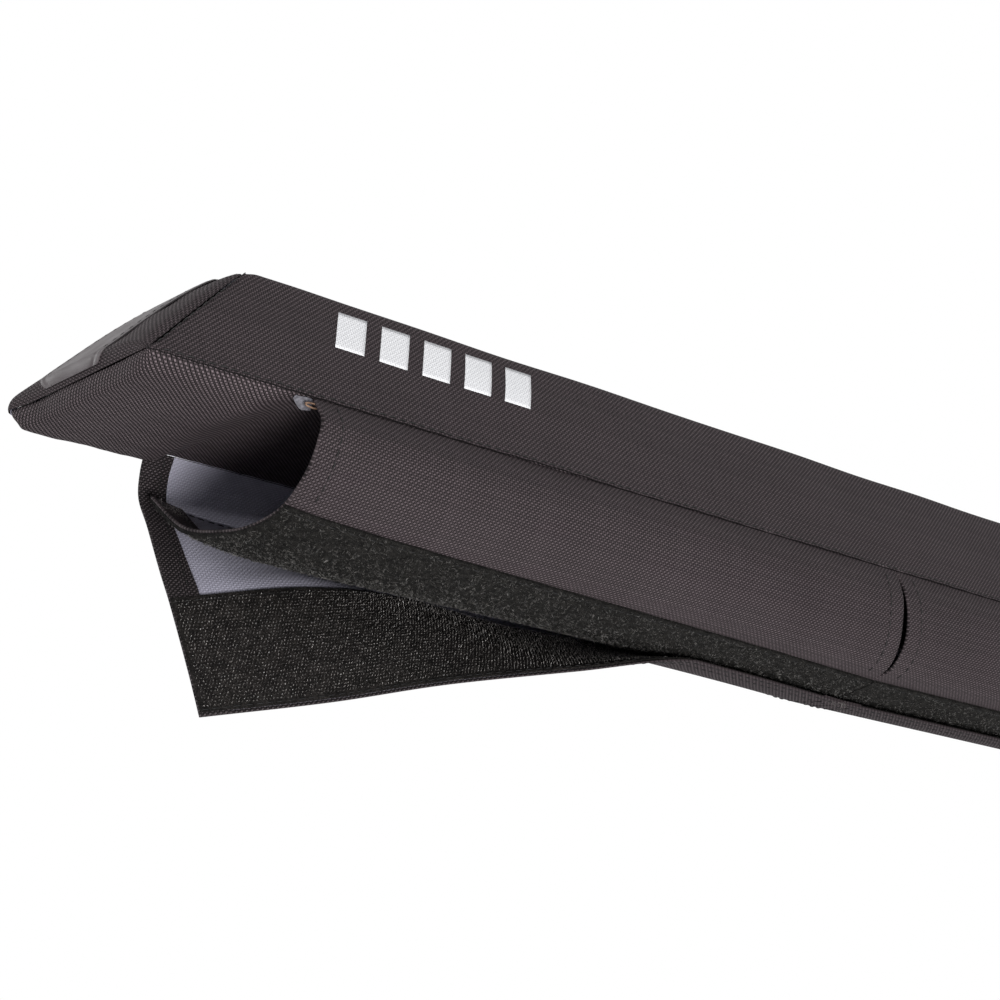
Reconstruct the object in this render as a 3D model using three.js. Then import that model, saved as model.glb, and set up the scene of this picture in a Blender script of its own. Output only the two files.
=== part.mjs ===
// Roof rack pad: a foam block in a sewn fabric cover, with a sleeve below it that wraps an
// aero crossbar and closes with hook-and-loop tape. The rear flap is peeled open at the left end.
// Millimetres, +Z up. X runs along the crossbar, -Y is the front, and the origin is the centre
// of the flat underside, where the pad sits on the bar.
import * as THREE from "three";
import { mergeVertices } from "three/addons/utils/BufferGeometryUtils.js";

// Pad
const PAD_LENGTH = 762; // along the base
const BASE_WIDTH = 95;
const TOP_WIDTH = 57;
const PAD_HEIGHT = 48;
const END_SLANT = 48; // how far each end leans in from base to top
const TOP_EDGE_RADIUS = 4;
const END_SWELL = 5; // how far each end swells
const END_SWELL_SIDE = 20; // the swell is full this far from the side seams
const END_SWELL_FOOT = 4; // and this far from the foot
const END_SWELL_TOP = 45; // and this far from the top
const OVERHANG_SAG = 6.5; // how far the underside hangs past the sleeve
const OVERHANG_ROUND = 5.5; // radius of its edge there
const OVERHANG_START = 22; // it reaches its full sag this far past the sleeve

// Sheets
const FABRIC = 0.7;
const SEWN_GAP = 0.3; // between any two sewn pieces
const PATCH_THICKNESS = 0.5;
const PATCH_MARGIN_FOOT = 23; // from the sloping side seams
const PATCH_MARGIN_TOP = 13;
const PATCH_FOOT = 1.2; // above the base seam
const PATCH_CORNER = 7;
const LOOP_WIDTH = 90;
const LOOP_THICKNESS = 1.8;
const HOOK_WIDTH = 50;
const HOOK_THICKNESS = 1.5;
const HEM_WIDTH = 10;
const HEM_FOLD = 0.8; // along X, where a hem's second layer ends

// Sleeve
const SLEEVE_INSET = 68; // bare pad past the sleeve at each end
const FRONT_WIDTH_AT_SLIT = 57; // front panel from its seam to the loop tape
const FRONT_WIDTH_AT_OPEN_END = 46;
const CLOSED_DEPTH = 50;
const MIDDLE_DEPTH = 45.5;
const OPEN_END_DEPTH = 40;
const DEPTH_RUN = 15; // the open half nears its middle depth about this far in
const FRONT_EDGE_LEAN = 8; // the front panel's open end leans outwards by this
const FLAP_WIDTH = 116;
const FLAP_SWELL = 17; // the closed flap bows out from its seam by this
const FLAP_BOW = 36; // and lies on the tapes again this far below the seam
const FLAP_START_LEAD = 11; // the open flap's seam starts nearer the pad's end by this
const FLAP_TIP_LEAD = 1;
const PEEL_LENGTH = 220; // from the open end to where the flap lies closed
const SLIT_GAP = 0.6;
const SLIT_BOW = 1.2; // the slit gapes by this much more halfway down

// The front panel's section from its seam, as shares of the base width and of its depth
const OPEN_END_OUTLINE = [
  [0, 0], [-0.073, 0.24], [-0.063, 0.43], [-0.019, 0.66], [0.107, 0.935],
  [0.305, 1.045], [0.538, 1], [0.754, 0.865], [1.008, 0.43],
];
const CLOSED_OUTLINE = [
  [0, 0], [-0.046, 0.24], [-0.05, 0.42], [-0.022, 0.68], [0.05, 0.86], [0.17, 0.94],
  [0.36, 1], [0.56, 0.95], [0.76, 0.8], [0.92, 0.6], [0.99, 0.4], [1.01, 0.2], [1.01, 0.05],
];
// The peeled flap's sections, as shares of its width out from its seam and down: hanging at the
// open end, then a quarter, a half and three quarters of the way to where it is closed
const PEELED_OUTLINES = [
  [
    [0, 0], [0.03, 0.069], [0.039, 0.147], [-0.017, 0.259], [-0.095, 0.422], [-0.147, 0.522],
    [-0.267, 0.78], [-0.345, 0.966],
  ],
  [
    [0, 0], [0.065, 0.03], [0.098, 0.105], [0.07, 0.185], [-0.002, 0.25], [-0.085, 0.31],
    [-0.16, 0.382], [-0.24, 0.57], [-0.335, 0.8], [-0.37, 0.89],
  ],
  [
    [0, 0], [0.103, 0.026], [0.159, 0.103], [0.159, 0.193], [0.086, 0.262], [0, 0.29],
    [-0.069, 0.318], [-0.216, 0.458], [-0.328, 0.632], [-0.414, 0.765],
  ],
  [
    [0, 0], [0.095, 0.034], [0.147, 0.121], [0.147, 0.219], [0.078, 0.285], [-0.043, 0.322],
    [-0.241, 0.432], [-0.431, 0.53], [-0.569, 0.6],
  ],
];

// Facets
const PEELED_STEPS = 18; // along the half with the open flap
const CLOSED_STEPS = 5;
const FRONT_STEPS = 9;
const LOOP_STEPS = 10;
const FLAP_STEPS = 9;
const HOOK_STEPS = 5;
const TAPE_STEPS = 20; // of the curve that the closed flap follows over the tapes
const CORNER_STEPS = 4;
const END_ROWS = 4;
const END_COLUMNS = 8;
const OVERHANG_STEPS = 3;

const halfLength = PAD_LENGTH / 2;
const halfBase = BASE_WIDTH / 2;
const sleeveEnd = halfLength - SLEEVE_INSET;
const sideTaper = (BASE_WIDTH - TOP_WIDTH) / 2;
const sideSlant = Math.hypot(sideTaper, PAD_HEIGHT);
const endStretch = Math.hypot(END_SLANT, PAD_HEIGHT) / PAD_HEIGHT;
const sheetStep = FABRIC + SEWN_GAP;

const mix = (a, b, t) => a + (b - a) * t;
const clamp01 = (t) => Math.min(1, Math.max(0, t));
const steps = (count) => Array.from({ length: count + 1 }, (_, i) => i / count);

// A quarter round: 0 at a seam, and 1 from a radius away.
const rounded = (distance, radius) => Math.sqrt(1 - (1 - clamp01(distance / radius)) ** 2);

// Distances in from a seam up to a radius, closer together near the seam.
const roundedSteps = (radius) =>
  steps(CORNER_STEPS).map((t) => radius * (1 - Math.cos((Math.PI / 2) * t)));

// A solid from its triangles, turned so that its faces point out.
function closedGeometry(points, triangles) {
  const volume = triangles.reduce((sum, [a, b, c]) => {
    const cross = new THREE.Vector3().crossVectors(points[b], points[c]);
    return sum + points[a].dot(cross);
  }, 0);
  const turned = volume < 0 ? triangles.map(([a, b, c]) => [a, c, b]) : triangles;
  const geometry = new THREE.BufferGeometry().setFromPoints(points);
  geometry.setIndex(turned.flat());
  geometry.computeVertexNormals();
  return geometry;
}

// A sheet over a grid of points: its two faces lie at the offsets low and high along the
// grid's normals, and each may be a number or a function of the grid place.
function sheet(grid, low, high) {
  const rows = grid.length;
  const columns = grid[0].length;
  const offset = (value, i, j) => (typeof value === "function" ? value(i, j) : value);
  const layer = (value) => grid.flatMap((row, i) =>
    row.map(({ point, normal }, j) => point.clone().addScaledVector(normal, offset(value, i, j))));
  const points = [...layer(low), ...layer(high)];
  const lowAt = (i, j) => i * columns + j;
  const highAt = (i, j) => rows * columns + lowAt(i, j);
  const triangles = [];
  const quad = (a, b, c, d) => triangles.push([a, b, c], [a, c, d]);
  for (let i = 0; i < rows - 1; i++) {
    for (let j = 0; j < columns - 1; j++) {
      quad(lowAt(i, j), lowAt(i, j + 1), lowAt(i + 1, j + 1), lowAt(i + 1, j));
      quad(highAt(i, j), highAt(i + 1, j), highAt(i + 1, j + 1), highAt(i, j + 1));
    }
  }
  for (let i = 0; i < rows - 1; i++) {
    quad(lowAt(i, 0), lowAt(i + 1, 0), highAt(i + 1, 0), highAt(i, 0));
    const last = columns - 1;
    quad(lowAt(i + 1, last), lowAt(i, last), highAt(i, last), highAt(i + 1, last));
  }
  for (let j = 0; j < columns - 1; j++) {
    quad(lowAt(0, j + 1), lowAt(0, j), highAt(0, j), highAt(0, j + 1));
    const last = rows - 1;
    quad(lowAt(last, j), lowAt(last, j + 1), highAt(last, j + 1), highAt(last, j));
  }
  return closedGeometry(points, triangles);
}

// Gives each point of a grid its normal, square to the grid's own directions.
function withNormals(pointGrid) {
  const rows = pointGrid.length;
  const columns = pointGrid[0].length;
  return pointGrid.map((row, i) => row.map((point, j) => {
    const along = pointGrid[Math.min(i + 1, rows - 1)][j].clone().sub(pointGrid[Math.max(i - 1, 0)][j]);
    const across = row[Math.min(j + 1, columns - 1)].clone().sub(row[Math.max(j - 1, 0)]);
    return { point, normal: along.cross(across).normalize() };
  }));
}

// Turns a grid's normals over where the sign is -1.
const facing = (grid, sign) => grid.map((row) =>
  row.map(({ point, normal }) => ({ point, normal: normal.clone().multiplyScalar(sign) })));

// The pad's half width at a height, inset square to its sloping side.
const halfWidth = (z, inset) =>
  halfBase - (sideTaper * z) / PAD_HEIGHT - (inset * sideSlant) / PAD_HEIGHT;

// The right half of the pad's section from base to top, inset all round: half width and height.
function padRows(inset, sideSteps = 1) {
  const base = inset;
  const top = PAD_HEIGHT - inset;
  const lean = Math.atan2(sideTaper, PAD_HEIGHT);
  const radius = TOP_EDGE_RADIUS - inset;
  const trim = radius * Math.tan((Math.PI / 2 - lean) / 2);
  const centre = [halfWidth(top, inset) - trim, top - radius];
  const arc = steps(CORNER_STEPS).map((t) => {
    const angle = mix(lean, Math.PI / 2, t);
    return [centre[0] + radius * Math.cos(angle), centre[1] + radius * Math.sin(angle)];
  });
  const straight = steps(sideSteps).slice(0, -1).map((t) => {
    const z = mix(base, arc[0][1], t);
    return [halfWidth(z, inset), z];
  });
  return [...straight, ...arc];
}

// How far along X the flat end face lies at a height, inset square to itself.
const endReach = (z, inset) => halfLength - (END_SLANT * z) / PAD_HEIGHT - inset * endStretch;

// A solid of the closed section between the two slanted ends.
function padBlock(inset) {
  const right = padRows(inset);
  const left = right.map(([y, z]) => [-y, z]).reverse();
  const outline = new THREE.Shape([...right, ...left].map(([y, z]) => new THREE.Vector2(y, z)));
  const block = new THREE.ExtrudeGeometry(outline, { depth: 1, bevelEnabled: false });
  const place = block.attributes.position;
  for (let i = 0; i < place.count; i++) {
    const [y, z, t] = [place.getX(i), place.getY(i), place.getZ(i)];
    place.setXYZ(i, mix(-1, 1, t) * endReach(z, inset), y, z);
  }
  block.deleteAttribute("normal");
  block.deleteAttribute("uv");
  const merged = mergeVertices(block);
  merged.computeVertexNormals();
  return merged;
}

// The one panel that covers the front, the top and the rear.
function wrapPanel() {
  const right = padRows(0);
  const section = [...right.map(([y, z]) => [-y, z]), ...right.slice().reverse()];
  const grid = [-1, 1].map((end) => section.map(([y, z]) =>
    new THREE.Vector3(end * endReach(z, sheetStep), y, z)));
  return sheet(withNormals(grid), -FABRIC, 0);
}

// The underside: flat over the bar, and hanging in a rounded cushion past the sleeve.
function basePanel() {
  const across = halfWidth(0, sheetStep);
  const end = endReach(FABRIC, sheetStep);
  const borders = roundedSteps(OVERHANG_ROUND);
  const mirrored = (places) => [...places.map((place) => -place), ...places.slice().reverse()];
  const columns = mirrored(borders.map((distance) => across - distance));
  const slope = steps(OVERHANG_STEPS).map((t) => sleeveEnd + OVERHANG_START * (1 - t));
  const stations = mirrored([...borders.map((distance) => end - distance), ...slope]);
  const grid = stations.map((x) => columns.map((y) => {
    const past = clamp01((Math.abs(x) - sleeveEnd) / OVERHANG_START);
    const edge = rounded(across - Math.abs(y), OVERHANG_ROUND) * rounded(end - Math.abs(x), OVERHANG_ROUND);
    const sag = OVERHANG_SAG * Math.sin((Math.PI / 2) * past) * edge;
    return new THREE.Vector3(x, y, -sag);
  }));
  return sheet(withNormals(grid), 0, FABRIC);
}

// A row across the swelling end face at a height, closer together near its sides.
function endRow(side, half, z) {
  const fabricHalf = halfWidth(z, 0);
  return steps(END_COLUMNS).map((t) => {
    const y = half * Math.sin((Math.PI / 2) * mix(-1, 1, t));
    const swell = END_SWELL * rounded(fabricHalf - Math.abs(y), END_SWELL_SIDE)
      * rounded(z * endStretch, END_SWELL_FOOT)
      * rounded((PAD_HEIGHT - z) * endStretch, END_SWELL_TOP);
    const out = swell * Math.SQRT1_2;
    return new THREE.Vector3(side * (endReach(z, 0) + out), y, z + out);
  });
}

function endCap(side) {
  const foot = roundedSteps(END_SWELL_FOOT / endStretch).map((z) => [halfWidth(z, 0), z]);
  const rows = [...foot, ...padRows(0, END_ROWS).slice(1)];
  const grid = rows.map(([half, z]) => endRow(side, half, z));
  return sheet(facing(withNormals(grid), -side), -FABRIC, 0);
}

// The coated patch sewn on the end cap, with rounded lower corners.
function endPatch(side) {
  const top = PAD_HEIGHT - TOP_EDGE_RADIUS;
  const corner = roundedSteps(PATCH_CORNER).slice(0, -1).map((rise) => PATCH_FOOT + rise);
  const straight = steps(END_ROWS).map((t) => mix(PATCH_FOOT + PATCH_CORNER, top, t));
  const grid = [...corner, ...straight].map((z) => {
    const below = Math.max(0, PATCH_FOOT + PATCH_CORNER - z);
    const rounding = PATCH_CORNER - Math.sqrt(PATCH_CORNER ** 2 - below ** 2);
    const margin = mix(PATCH_MARGIN_FOOT, PATCH_MARGIN_TOP, z / PAD_HEIGHT);
    return endRow(side, halfWidth(z, 0) - margin - rounding, z);
  });
  return sheet(facing(withNormals(grid), -side), SEWN_GAP, SEWN_GAP + PATCH_THICKNESS);
}

function curveThrough(section) {
  const points = section.map(([y, z]) => new THREE.Vector3(0, y, z));
  const curve = new THREE.CatmullRomCurve3(points, false, "centripetal");
  curve.arcLengthDivisions = 400;
  return curve;
}

const pointAlong = (curve, distance) => curve.getPointAt(clamp01(distance / curve.getLength()));

// The front panel's section at a share of the way from the open end (0) to the slit (1).
function frontSection(share) {
  const closing = Math.sin((Math.PI / 2) * share);
  const nearEnd = Math.exp((-share * sleeveEnd) / DEPTH_RUN);
  const depth = mix(MIDDLE_DEPTH, OPEN_END_DEPTH, nearEnd) + (CLOSED_DEPTH - MIDDLE_DEPTH) * share ** 3;
  const place = ([across, down]) => [-halfBase + across * BASE_WIDTH, -SEWN_GAP - down * depth];
  const open = curveThrough(OPEN_END_OUTLINE.map(place));
  const closed = curveThrough(CLOSED_OUTLINE.map(place));
  const frontWidth = mix(FRONT_WIDTH_AT_OPEN_END, FRONT_WIDTH_AT_SLIT, share);
  const section = (distance) => pointAlong(open, distance).lerp(pointAlong(closed, distance), closing);
  return { frontWidth, section };
}

// Distances down the front panel: its fabric part, then the part that carries the loop tape.
function frontDistances(frontWidth) {
  const fabric = steps(FRONT_STEPS).slice(0, -1).map((t) => frontWidth * t);
  return [...fabric, ...steps(LOOP_STEPS).map((t) => frontWidth + LOOP_WIDTH * t)];
}

// The closed flap's section: bowed out from its seam, then over the tapes on the front panel.
function closedFlapSection(share) {
  const { frontWidth, section } = frontSection(share);
  const standOff = SEWN_GAP + LOOP_THICKNESS + SEWN_GAP + HOOK_THICKNESS + SEWN_GAP;
  const bow = [[halfBase, -SEWN_GAP], [halfBase + FLAP_SWELL, -SEWN_GAP - FLAP_BOW / 2]];
  const overTapes = steps(TAPE_STEPS)
    .map((t) => mix(frontWidth + LOOP_WIDTH, frontWidth - HEM_WIDTH, t))
    .filter((distance) => section(distance).z < -FLAP_BOW)
    .map((distance) => {
      const here = section(distance);
      const ahead = section(distance + FABRIC).sub(section(distance - FABRIC)).normalize();
      return [here.y + ahead.z * standOff, here.z - ahead.y * standOff];
    });
  return curveThrough([...bow, ...overTapes]);
}

const peeledSections = PEELED_OUTLINES.map((outline) =>
  curveThrough(outline.map(([out, down]) =>
    [halfBase + out * FLAP_WIDTH, -SEWN_GAP - down * FLAP_WIDTH])));

// A smooth value between the middle two of four points.
function catmullRom([before, from, to, after], t) {
  const startSlope = to.clone().sub(before).multiplyScalar(0.5);
  const endSlope = after.clone().sub(from).multiplyScalar(0.5);
  return new THREE.Vector3()
    .addScaledVector(from, 2 * t ** 3 - 3 * t ** 2 + 1)
    .addScaledVector(startSlope, t ** 3 - 2 * t ** 2 + t)
    .addScaledVector(to, 3 * t ** 2 - 2 * t ** 3)
    .addScaledVector(endSlope, t ** 3 - t ** 2);
}

// The flap's grid point at a distance from its seam, lofted through the peeled sections to the
// closed one.
function flapPoint(distance, fromEnd, closed) {
  const shut = pointAlong(closed, distance);
  if (fromEnd >= PEEL_LENGTH) return shut;
  const open = peeledSections.map((section) => pointAlong(section, distance));
  const beforeOpen = open[0].clone().multiplyScalar(2).sub(open[1]);
  const keys = [beforeOpen, ...open, shut, shut];
  const place = (fromEnd / PEEL_LENGTH) * open.length;
  const first = Math.floor(place);
  return catmullRom(keys.slice(first, first + 4), place - first);
}

function flapDistances() {
  const hookStart = FLAP_WIDTH - HOOK_WIDTH;
  const fabric = steps(FLAP_STEPS).slice(0, -1).map((t) => hookStart * t);
  return [...fabric, ...steps(HOOK_STEPS).map((t) => hookStart + HOOK_WIDTH * t)];
}

// How far each half's edge stands from the slit's middle, at a share of the way down.
const slitEdge = (share) => SLIT_GAP / 2 + (SLIT_BOW / 2) * Math.sin(Math.PI * clamp01(share));

// Stations along one half: shares of the way from its outer end to the slit, with two at the
// inner edge of each hem.
function stationShares(count) {
  const hem = HEM_WIDTH / sleeveEnd;
  const single = (HEM_WIDTH + HEM_FOLD) / sleeveEnd;
  return [0, hem, ...steps(count).map((t) => mix(single, 1 - single, t)), 1 - hem, 1];
}

// The front panel's grid on one half of the pad; side is -1 on the left.
function frontGrid(side, peeled) {
  const shares = stationShares(peeled ? PEELED_STEPS : CLOSED_STEPS);
  const grid = shares.map((share) => {
    const { frontWidth, section } = frontSection(peeled ? share : 1);
    const total = frontWidth + LOOP_WIDTH;
    return frontDistances(frontWidth).map((distance) => {
      const lean = peeled ? FRONT_EDGE_LEAN * (distance / total) : 0;
      const x = mix(sleeveEnd + lean, slitEdge(distance / frontWidth), share);
      const point = section(distance);
      return new THREE.Vector3(side * x, point.y, point.z);
    });
  });
  return facing(withNormals(grid), side);
}

// The rear flap's grid on one half of the pad.
function flapGrid(side, peeled) {
  const grid = stationShares(peeled ? PEELED_STEPS : CLOSED_STEPS).map((share) => {
    const fromEnd = peeled ? share * sleeveEnd : PEEL_LENGTH;
    const closed = closedFlapSection(peeled ? share : 1);
    return flapDistances().map((distance) => {
      const lead = peeled ? mix(FLAP_START_LEAD, FLAP_TIP_LEAD, distance / FLAP_WIDTH) : 0;
      const x = mix(sleeveEnd + lead, slitEdge(distance / FLAP_WIDTH), share);
      const point = flapPoint(distance, fromEnd, closed);
      return new THREE.Vector3(side * x, point.y, point.z);
    });
  });
  return facing(withNormals(grid), -side);
}

const lastColumns = (grid, count) => grid.map((row) => row.slice(row.length - count - 1));

// A hem at each end of a panel is a second layer of fabric on its inner face.
const inHem = (grid, i) => i <= 1 || i >= grid.length - 2;

const frontPanel = (grid) => sheet(grid, (i) => (inHem(grid, i) ? -2 * FABRIC : -FABRIC), 0);
const loopTape = (grid) => sheet(lastColumns(grid, LOOP_STEPS), SEWN_GAP, SEWN_GAP + LOOP_THICKNESS);
const rearFlap = (grid) => sheet(grid, (i, j) => (inHem(grid, i) && j < FLAP_STEPS ? -FABRIC : 0), FABRIC);
const hookTape = (grid) => sheet(lastColumns(grid, HOOK_STEPS), -SEWN_GAP - HOOK_THICKNESS, -SEWN_GAP);

const finish = (color, roughness) => new THREE.MeshStandardMaterial({ color, roughness, metalness: 0 });
const FOAM = finish(0x2b2b2d, 0.95);
const WOVEN = finish(0x3c3839, 0.85);
const COATED = finish(0x2a2829, 0.45);
const LOOP = finish(0x242523, 1);
const HOOK = finish(0x191817, 0.7);

function named(name, geometry, material) {
  const mesh = new THREE.Mesh(geometry, material);
  mesh.name = name;
  return mesh;
}

function pad() {
  const group = new THREE.Group();
  group.add(
    named("foam_core", padBlock(sheetStep), FOAM),
    named("cover_wrap", wrapPanel(), WOVEN),
    named("cover_base", basePanel(), WOVEN),
  );
  for (const [name, side] of [["left", -1], ["right", 1]]) {
    group.add(
      named(`end_cap_${name}`, endCap(side), WOVEN),
      named(`end_patch_${name}`, endPatch(side), COATED),
    );
  }
  return group;
}

function sleeve() {
  const group = new THREE.Group();
  for (const [name, side, peeled] of [["left", -1, true], ["right", 1, false]]) {
    const front = frontGrid(side, peeled);
    const flap = flapGrid(side, peeled);
    group.add(
      named(`sleeve_front_${name}`, frontPanel(front), WOVEN),
      named(`loop_tape_${name}`, loopTape(front), LOOP),
      named(`flap_${name}`, rearFlap(flap), WOVEN),
      named(`hook_tape_${name}`, hookTape(flap), HOOK),
    );
  }
  return group;
}

const roofRackPad = new THREE.Group();
roofRackPad.add(pad(), sleeve());

export default roofRackPad;
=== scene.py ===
"""Roof rack pad: the fabric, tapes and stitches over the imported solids, with the studio.

Metres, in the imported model's frame: X along the crossbar, -Y the front, +Z up.
"""
from math import atan2, cos, exp, hypot, pi, radians, sin, sqrt, tan

import bpy
import numpy as np
from mathutils import Matrix, Vector


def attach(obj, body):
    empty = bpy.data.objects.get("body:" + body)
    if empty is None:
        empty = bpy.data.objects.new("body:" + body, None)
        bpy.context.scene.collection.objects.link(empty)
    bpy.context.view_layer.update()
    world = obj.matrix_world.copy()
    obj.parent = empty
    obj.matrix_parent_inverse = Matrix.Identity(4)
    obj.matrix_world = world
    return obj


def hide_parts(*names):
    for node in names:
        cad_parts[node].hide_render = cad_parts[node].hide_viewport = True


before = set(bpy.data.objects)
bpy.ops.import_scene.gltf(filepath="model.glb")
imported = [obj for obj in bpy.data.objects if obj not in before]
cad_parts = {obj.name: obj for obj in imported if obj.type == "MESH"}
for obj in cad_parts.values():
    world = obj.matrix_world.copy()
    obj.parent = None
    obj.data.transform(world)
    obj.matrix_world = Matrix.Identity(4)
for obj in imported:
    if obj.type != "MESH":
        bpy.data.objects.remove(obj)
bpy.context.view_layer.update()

# Pad
PAD_LENGTH = 0.762
BASE_WIDTH = 0.095
TOP_WIDTH = 0.057
PAD_HEIGHT = 0.048
END_SLANT = 0.048
TOP_EDGE_RADIUS = 0.004
TOP_CROWN = 0.0018
SIDE_CROWN = 0.0009
END_SWELL = 0.005
END_SWELL_SIDE = 0.020  # the swell is full this far from the side seams
END_SWELL_FOOT = 0.003  # and this far from the foot
END_SWELL_TOP = 0.045  # and this far from the top
OVERHANG_SAG = 0.0065
OVERHANG_ROUND = 0.0055  # radius of the underside's rear and end edges past the sleeve
OVERHANG_FRONT = 0.022  # and of its front edge
OVERHANG_START = 0.022  # it reaches its full sag this far past the sleeve
OVERHANG_REAR = 0.013  # and this far at the rear
SEAM_SINK = 0.001  # how deep a seam lies between the panels it joins
SEAM_SPREAD = 0.002
SEAM_INSET = 0.0004  # the end seams' edges lie this far inside the pad's corner lines
FOOT_RUN = 0.006  # the end seams sink in over this height from the foot
PUCKER_DEPTH = 0.00018  # of the dips beside a stitch, and how far they reach
PUCKER_REACH = 0.004
REAR_CORNER = 0.0065  # radius of the lower corners in plan, at the rear and at the front
FRONT_CORNER = 0.0015
CORNER_TALL = 0.02  # they sharpen to the upper radius this far up
UPPER_CORNER = 0.0008
CORNER_SWELL = 0.0021  # the gathered cloth pushes the rear corners out, and how far it reaches
CORNER_REACH = 0.012
SEAM_BAND = 0.0042  # raised band of folded fabric above the front and rear seams
SEAM_BAND_RISE = 0.0003
SCRAP_REACH = 0.0074  # corner of fabric at the sleeve's mouth
SCRAP_DEEP = 0.0046
FOAM_EDGE = 0.0015  # how far the foam draws in at its top and foot

# Bars printed on the front face, placed along the pad and up the face
BARS = 5
BARS_START = -0.3
BARS_LOW = 0.026
BARS_HIGH = 0.045
BAR_WIDTH = 0.013
BAR_GAP = 0.007
BAR_SLANT = 0.006

# Sheets
FABRIC = 0.0007
SEWN_GAP = 0.0003
PATCH_THICK = 0.0005
PATCH_MARGIN_FOOT = 0.023
PATCH_MARGIN_TOP = 0.013
PATCH_FOOT = 0.0002
PATCH_CORNER = 0.007
PATCH_STITCH = 0.0035
PATCH_STITCH_FIRST = 5  # the first of the patch's rows that its stitches reach
LOOP_WIDTH = 0.09
LOOP_THICK = 0.0018
LOOP_BASE = 0.0008
HOOK_WIDTH = 0.05
HOOK_THICK = 0.0015
HOOK_BASE = 0.0006
HOOK_SELVEDGE = 0.0022  # without hooks, at the tape's long edges and at its ends
HOOK_MARGIN = 0.0015
HOOK_PITCH = 0.00142
SHUT_HOOKS = 0.02  # the closed tape has hooks only this far in
LOOP_CURLS = 13500  # fibres on the open tape, and on the closed one
SHUT_CURLS = 4500
FLAP_LIP = 0.0012  # bare fabric past the hook tape's outer edge
HEM_WIDTH = 0.01

# Sleeve
SLEEVE_INSET = 0.068
FRONT_WIDTH = 0.057
FRONT_WIDTH_OPEN = 0.046
CLOSED_DEPTH = 0.05
MIDDLE_DEPTH = 0.0455
OPEN_END_DEPTH = 0.04
DEPTH_RUN = 0.015  # the open half nears its middle depth about this far in
FRONT_EDGE_LEAN = 0.008
FLAP_WIDTH = 0.116
FLAP_SWELL = 0.017
FLAP_BOW = 0.036
FLAP_START_LEAD = 0.011
FLAP_TIP_LEAD = 0.001
PEEL_LENGTH = 0.22
SLIT_GAP = 0.0006
SLIT_BOW = 0.0034

# Sections of the sleeve, as in the solids
OPEN_END_OUTLINE = [
    (0, 0), (-0.073, 0.24), (-0.063, 0.43), (-0.019, 0.66), (0.107, 0.935),
    (0.305, 1.045), (0.538, 1), (0.754, 0.865), (1.008, 0.43),
]
CLOSED_OUTLINE = [
    (0, 0), (-0.046, 0.24), (-0.05, 0.42), (-0.022, 0.68), (0.05, 0.86), (0.17, 0.94),
    (0.36, 1), (0.56, 0.95), (0.76, 0.8), (0.92, 0.6), (0.99, 0.4), (1.01, 0.2), (1.01, 0.05),
]
PEELED_OUTLINES = [
    [(0, 0), (0.03, 0.069), (0.039, 0.147), (-0.017, 0.259), (-0.095, 0.422), (-0.147, 0.522),
     (-0.267, 0.78), (-0.345, 0.966)],
    [(0, 0), (0.065, 0.03), (0.098, 0.105), (0.07, 0.185), (-0.002, 0.25), (-0.085, 0.31),
     (-0.162, 0.375), (-0.246, 0.558), (-0.345, 0.78), (-0.384, 0.866)],
    [(0, 0), (0.103, 0.026), (0.159, 0.103), (0.159, 0.193), (0.086, 0.262), (0, 0.29),
     (-0.069, 0.318), (-0.216, 0.458), (-0.328, 0.632), (-0.414, 0.765)],
    [(0, 0), (0.095, 0.034), (0.147, 0.121), (0.147, 0.219), (0.078, 0.285), (-0.043, 0.322),
     (-0.241, 0.432), (-0.431, 0.53), (-0.569, 0.6)],
]

# Yarns and stitches
WARP_PITCH = 0.00106  # between yarns, along the sheet and across it
WEFT_PITCH = 0.00096
STITCH_PITCH = 0.0045
STITCH_LENGTH = 0.0034
THREAD_RADIUS = 0.00024
TAPE_STITCH = 0.002  # from a tape's long edge
HOOK_STITCHES = (0.008, 0.003)  # from the hook tape's outer edge
SEAM_TRIM = 8  # grid points without thread at each end of a seam

# Studio
LIT_SPOT = (-0.25, 0, -0.02)  # where the lamps point
FLOOR_HALF = 25.0
FLOOR_LEVEL = -1.6

# Facets
STATIONS = 150  # along each half of the sleeve
FRONT_COLUMNS = 26
LOOP_COLUMNS = 44
FLAP_COLUMNS = 34
HOOK_COLUMNS = 24
WAVE_COUNT = 12  # plane waves in a random height

HALF_LENGTH = PAD_LENGTH / 2
HALF_BASE = BASE_WIDTH / 2
SIDE_TAPER = (BASE_WIDTH - TOP_WIDTH) / 2
SIDE_SLANT = hypot(SIDE_TAPER, PAD_HEIGHT)
END_STRETCH = hypot(END_SLANT, PAD_HEIGHT) / PAD_HEIGHT
SLEEVE_END = HALF_LENGTH - SLEEVE_INSET
CAP_TOP = PAD_HEIGHT - SEAM_SINK
HEM_SHARE = HEM_WIDTH / SLEEVE_END

rng = np.random.default_rng(7)


# Small helpers

def mix(a, b, t):
    return a + (b - a) * t


def smoothstep(low, high, x):
    t = np.clip((x - low) / (high - low), 0, 1)
    return t * t * (3 - 2 * t)


def rounded(distance, radius):
    """A quarter round: 0 at a seam, and 1 from a radius away."""
    return np.sqrt(1 - (1 - np.clip(distance / radius, 0, 1)) ** 2)


def quarter(count):
    """Steps from 0 to 1, closer together at 0, as a quarter round is seen from its side."""
    return 1 - np.cos(np.linspace(0, pi / 2, count))


def unit(v):
    return v / np.maximum(np.linalg.norm(v, axis=-1, keepdims=True), 1e-12)


def lengths(points):
    """Distances along a line of points, from its first."""
    return np.concatenate([[0], np.cumsum(np.linalg.norm(np.diff(points, axis=0), axis=1))])


def pack(*parts):
    """One array of points from their separate numbers."""
    return np.stack(np.broadcast_arrays(*parts), -1)


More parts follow.
